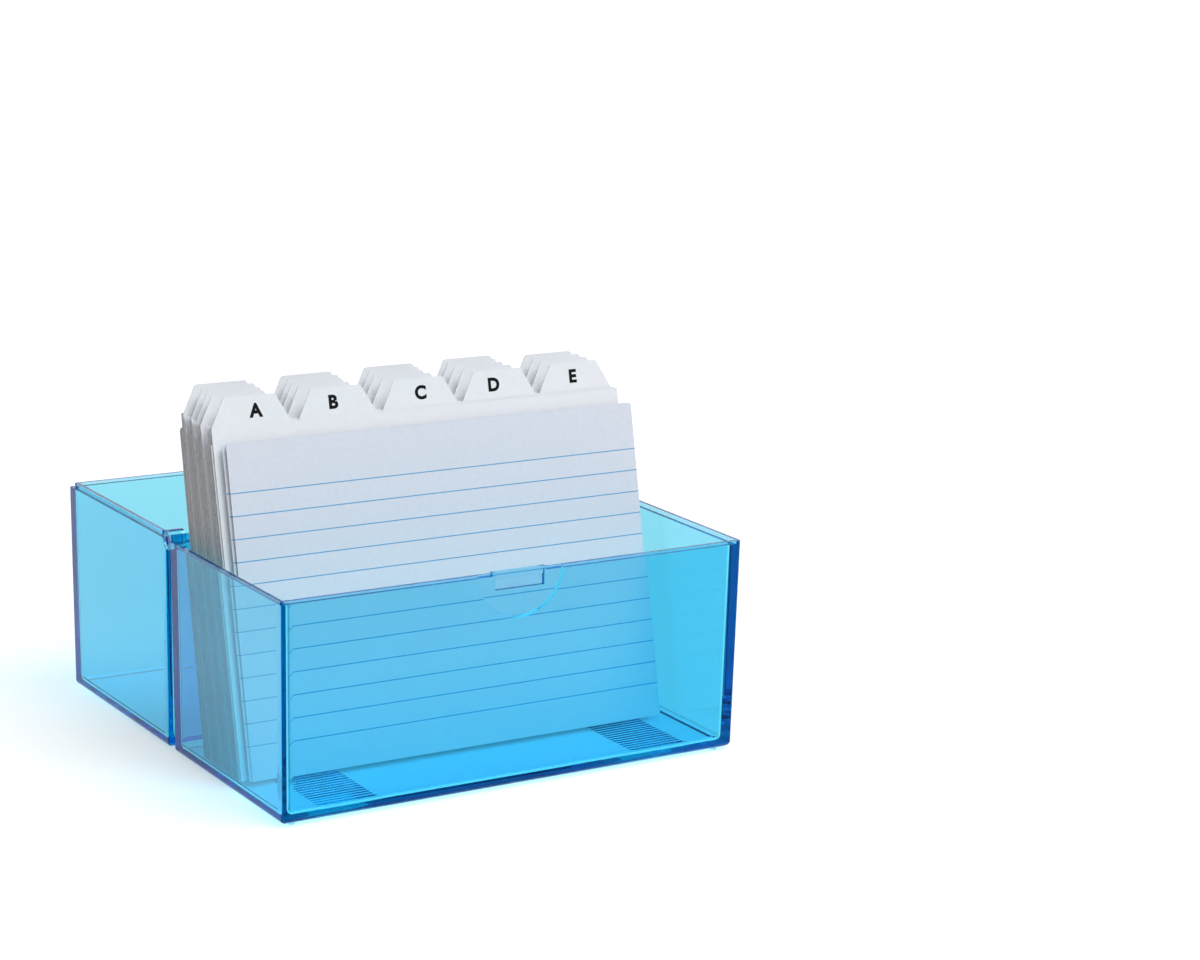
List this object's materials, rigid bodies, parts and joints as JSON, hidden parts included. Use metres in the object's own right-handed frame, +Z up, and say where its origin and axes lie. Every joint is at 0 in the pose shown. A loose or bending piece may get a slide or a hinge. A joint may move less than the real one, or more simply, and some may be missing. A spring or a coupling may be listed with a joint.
{
  "type": "index card box",
  "caption": "Clear box of two hinged halves with a snap latch, holding ruled index cards and tabbed alphabetical dividers; the lid folds back behind the tray.",
  "frame": {"origin": "on the table under the middle of the hinge axis, half way between the tray's front and the open lid's far edge", "axes": "+X to the right along the hinge, +Y from the tray to the open lid, +Z up"},
  "size_m": [0.164, 0.1632, 0.1202],
  "materials": {
    "clear_blue_polystyrene": "clear tinted polystyrene, moulded to a high gloss",
    "ruled_card": "smooth matt index card",
    "divider_card": "smooth matt divider card"
  },
  "bodies": {
    "tray": {"tray_shell": "clear_blue_polystyrene", "hinge_rod": "clear_blue_polystyrene"},
    "lid": {"lid_shell": "clear_blue_polystyrene"},
    "latch": {"latch_tongue": "clear_blue_polystyrene"},
    "front_cards": {"ruled_card_front": "ruled_card", "ruled_card_second": "ruled_card"},
    "divider_a": {"divider_a": "divider_card", "cards_a": "ruled_card"},
    "divider_b": {"divider_b": "divider_card", "cards_b": "ruled_card"},
    "divider_c": {"divider_c": "divider_card", "cards_c": "ruled_card"},
    "divider_d": {"divider_d": "divider_card", "cards_d": "ruled_card"},
    "divider_e": {"divider_e": "divider_card", "cards_e": "ruled_card"},
    "divider_f": {"divider_f": "divider_card", "cards_f": "ruled_card"},
    "divider_g": {"divider_g": "divider_card", "cards_g": "ruled_card"},
    "divider_h": {"divider_h": "divider_card", "cards_h": "ruled_card"},
    "divider_i": {"divider_i": "divider_card", "cards_i": "ruled_card"},
    "divider_j": {"divider_j": "divider_card", "cards_j": "ruled_card"},
    "divider_k": {"divider_k": "divider_card", "cards_k": "ruled_card"},
    "divider_l": {"divider_l": "divider_card", "cards_l": "ruled_card"},
    "divider_m": {"divider_m": "divider_card", "cards_m": "ruled_card"},
    "divider_n": {"divider_n": "divider_card", "cards_n": "ruled_card"},
    "divider_o": {"divider_o": "divider_card", "cards_o": "ruled_card"},
    "divider_pq": {"divider_pq": "divider_card", "cards_pq": "ruled_card"},
    "divider_r": {"divider_r": "divider_card", "cards_r": "ruled_card"},
    "divider_s": {"divider_s": "divider_card", "cards_s": "ruled_card"},
    "divider_t": {"divider_t": "divider_card", "cards_t": "ruled_card"},
    "divider_u": {"divider_u": "divider_card", "cards_u": "ruled_card"},
    "divider_v": {"divider_v": "divider_card", "cards_v": "ruled_card"},
    "divider_w": {"divider_w": "divider_card", "cards_w": "ruled_card"},
    "divider_xy": {"divider_xy": "divider_card", "cards_xy": "ruled_card"},
    "divider_z": {"divider_z": "divider_card", "cards_z": "ruled_card"}
  },
  "joints": [
    {"name": "lid_hinge", "type": "hinge", "parent": "tray", "child": "lid", "pos_m": [0, 0, 0.0711], "axis": [1, 0, 0], "range_deg": [0, 180]},
    {"name": "latch_flex", "type": "hinge", "parent": "lid", "child": "latch", "pos_m": [0, 0.07965, 0.0033], "axis": [-1, 0, 0], "range_deg": [0, 2], "stiffness_Nm_per_rad": 3},
    {"name": "front_cards_tip", "type": "hinge", "parent": "tray", "child": "front_cards", "pos_m": [0, -0.04695, 0.0036], "axis": [1, 0, 0], "range_deg": [0, 7]},
    {"name": "divider_a_tip", "type": "hinge", "parent": "tray", "child": "divider_a", "pos_m": [0, -0.04516, 0.0036], "axis": [1, 0, 0], "range_deg": [0, 7]},
    {"name": "divider_b_tip", "type": "hinge", "parent": "tray", "child": "divider_b", "pos_m": [0, -0.04402, 0.0036], "axis": [1, 0, 0], "range_deg": [0, 7]},
    {"name": "divider_c_tip", "type": "hinge", "parent": "tray", "child": "divider_c", "pos_m": [0, -0.04288, 0.0036], "axis": [1, 0, 0], "range_deg": [0, 7]},
    {"name": "divider_d_tip", "type": "hinge", "parent": "tray", "child": "divider_d", "pos_m": [0, -0.04175, 0.0036], "axis": [1, 0, 0], "range_deg": [0, 7]},
    {"name": "divider_e_tip", "type": "hinge", "parent": "tray", "child": "divider_e", "pos_m": [0, -0.04061, 0.0036], "axis": [1, 0, 0], "range_deg": [0, 7]},
    {"name": "divider_f_tip", "type": "hinge", "parent": "tray", "child": "divider_f", "pos_m": [0, -0.03948, 0.0036], "axis": [1, 0, 0], "range_deg": [0, 7]},
    {"name": "divider_g_tip", "type": "hinge", "parent": "tray", "child": "divider_g", "pos_m": [0, -0.03834, 0.0036], "axis": [1, 0, 0], "range_deg": [0, 7]},
    {"name": "divider_h_tip", "type": "hinge", "parent": "tray", "child": "divider_h", "pos_m": [0, -0.03721, 0.0036], "axis": [1, 0, 0], "range_deg": [0, 7]},
    {"name": "divider_i_tip", "type": "hinge", "parent": "tray", "child": "divider_i", "pos_m": [0, -0.03608, 0.0036], "axis": [1, 0, 0], "range_deg": [0, 7]},
    {"name": "divider_j_tip", "type": "hinge", "parent": "tray", "child": "divider_j", "pos_m": [0, -0.03494, 0.0036], "axis": [1, 0, 0], "range_deg": [0, 7]},
    {"name": "divider_k_tip", "type": "hinge", "parent": "tray", "child": "divider_k", "pos_m": [0, -0.03381, 0.0036], "axis": [1, 0, 0], "range_deg": [0, 7]},
    {"name": "divider_l_tip", "type": "hinge", "parent": "tray", "child": "divider_l", "pos_m": [0, -0.03267, 0.0036], "axis": [1, 0, 0], "range_deg": [0, 7]},
    {"name": "divider_m_tip", "type": "hinge", "parent": "tray", "child": "divider_m", "pos_m": [0, -0.03154, 0.0036], "axis": [1, 0, 0], "range_deg": [0, 7]},
    {"name": "divider_n_tip", "type": "hinge", "parent": "tray", "child": "divider_n", "pos_m": [0, -0.0304, 0.0036], "axis": [1, 0, 0], "range_deg": [0, 7]},
    {"name": "divider_o_tip", "type": "hinge", "parent": "tray", "child": "divider_o", "pos_m": [0, -0.02926, 0.0036], "axis": [1, 0, 0], "range_deg": [0, 7]},
    {"name": "divider_pq_tip", "type": "hinge", "parent": "tray", "child": "divider_pq", "pos_m": [0, -0.02813, 0.0036], "axis": [1, 0, 0], "range_deg": [0, 7]},
    {"name": "divider_r_tip", "type": "hinge", "parent": "tray", "child": "divider_r", "pos_m": [0, -0.027, 0.0036], "axis": [1, 0, 0], "range_deg": [0, 7]},
    {"name": "divider_s_tip", "type": "hinge", "parent": "tray", "child": "divider_s", "pos_m": [0, -0.02586, 0.0036], "axis": [1, 0, 0], "range_deg": [0, 7]},
    {"name": "divider_t_tip", "type": "hinge", "parent": "tray", "child": "divider_t", "pos_m": [0, -0.02473, 0.0036], "axis": [1, 0, 0], "range_deg": [0, 7]},
    {"name": "divider_u_tip", "type": "hinge", "parent": "tray", "child": "divider_u", "pos_m": [0, -0.02359, 0.0036], "axis": [1, 0, 0], "range_deg": [0, 7]},
    {"name": "divider_v_tip", "type": "hinge", "parent": "tray", "child": "divider_v", "pos_m": [0, -0.02245, 0.0036], "axis": [1, 0, 0], "range_deg": [0, 7]},
    {"name": "divider_w_tip", "type": "hinge", "parent": "tray", "child": "divider_w", "pos_m": [0, -0.02132, 0.0036], "axis": [1, 0, 0], "range_deg": [0, 7]},
    {"name": "divider_xy_tip", "type": "hinge", "parent": "tray", "child": "divider_xy", "pos_m": [0, -0.02019, 0.0036], "axis": [1, 0, 0], "range_deg": [0, 7]},
    {"name": "divider_z_tip", "type": "hinge", "parent": "tray", "child": "divider_z", "pos_m": [0, -0.01905, 0.0036], "axis": [1, 0, 0], "range_deg": [0, 7]}
  ],
  "couplings": [
    {"joint": "front_cards_tip", "follows": "lid_hinge", "ratio": 0.038889},
    {"joint": "divider_a_tip", "follows": "lid_hinge", "ratio": 0.038889},
    {"joint": "divider_b_tip", "follows": "lid_hinge", "ratio": 0.038889},
    {"joint": "divider_c_tip", "follows": "lid_hinge", "ratio": 0.038889},
    {"joint": "divider_d_tip", "follows": "lid_hinge", "ratio": 0.038889},
    {"joint": "divider_e_tip", "follows": "lid_hinge", "ratio": 0.038889},
    {"joint": "divider_f_tip", "follows": "lid_hinge", "ratio": 0.038889},
    {"joint": "divider_g_tip", "follows": "lid_hinge", "ratio": 0.038889},
    {"joint": "divider_h_tip", "follows": "lid_hinge", "ratio": 0.038889},
    {"joint": "divider_i_tip", "follows": "lid_hinge", "ratio": 0.038889},
    {"joint": "divider_j_tip", "follows": "lid_hinge", "ratio": 0.038889},
    {"joint": "divider_k_tip", "follows": "lid_hinge", "ratio": 0.038889},
    {"joint": "divider_l_tip", "follows": "lid_hinge", "ratio": 0.038889},
    {"joint": "divider_m_tip", "follows": "lid_hinge", "ratio": 0.038889},
    {"joint": "divider_n_tip", "follows": "lid_hinge", "ratio": 0.038889},
    {"joint": "divider_o_tip", "follows": "lid_hinge", "ratio": 0.038889},
    {"joint": "divider_pq_tip", "follows": "lid_hinge", "ratio": 0.038889},
    {"joint": "divider_r_tip", "follows": "lid_hinge", "ratio": 0.038889},
    {"joint": "divider_s_tip", "follows": "lid_hinge", "ratio": 0.038889},
    {"joint": "divider_t_tip", "follows": "lid_hinge", "ratio": 0.038889},
    {"joint": "divider_u_tip", "follows": "lid_hinge", "ratio": 0.038889},
    {"joint": "divider_v_tip", "follows": "lid_hinge", "ratio": 0.038889},
    {"joint": "divider_w_tip", "follows": "lid_hinge", "ratio": 0.038889},
    {"joint": "divider_xy_tip", "follows": "lid_hinge", "ratio": 0.038889},
    {"joint": "divider_z_tip", "follows": "lid_hinge", "ratio": 0.038889}
  ]
}
